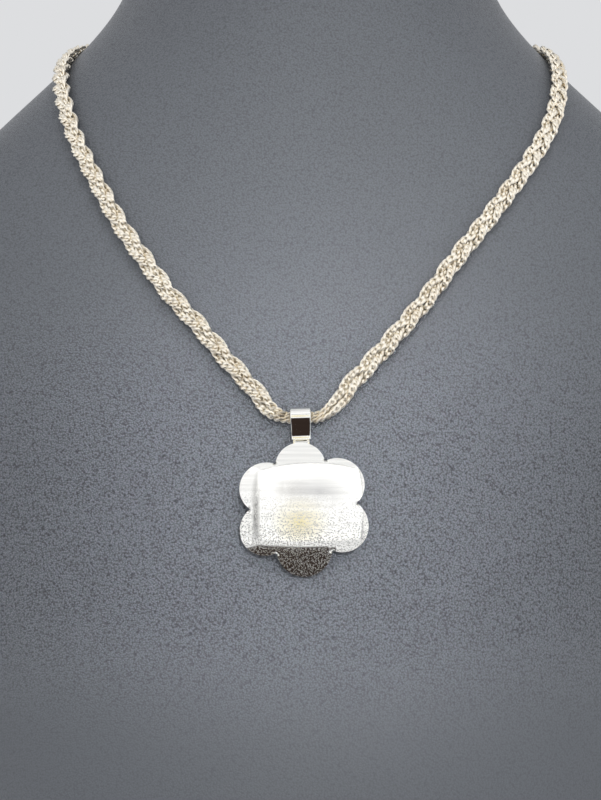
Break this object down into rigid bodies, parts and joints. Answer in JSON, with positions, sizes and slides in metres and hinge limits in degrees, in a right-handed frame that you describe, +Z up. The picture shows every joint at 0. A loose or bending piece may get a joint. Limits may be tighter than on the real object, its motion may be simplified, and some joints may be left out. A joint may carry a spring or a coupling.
{
  "type": "flower pendant necklace on a neck bust",
  "caption": "Domed silver flower pendant on a plaited flat curb chain, worn by a plain grey leatherette neck bust.",
  "frame": {"origin": "middle of the overall box on the bust's flat base", "axes": "+Z up, the chest and pendant face -Y, +X to the viewer's right"},
  "size_m": [0.2058, 0.1299, 0.236],
  "materials": {
    "polished_silver": "mirror-polished silver, with fine hammered speckle",
    "chain_silver": "bright silver chain, slightly warm",
    "leatherette": "fine pebbled grain, low sheen"
  },
  "bodies": {
    "root": {"flower_pendant": "polished_silver", "strand_1": "chain_silver", "strand_2": "chain_silver", "strand_3": "chain_silver", "clasp": "chain_silver", "neck_bust": "leatherette"}
  },
  "joints": []
}
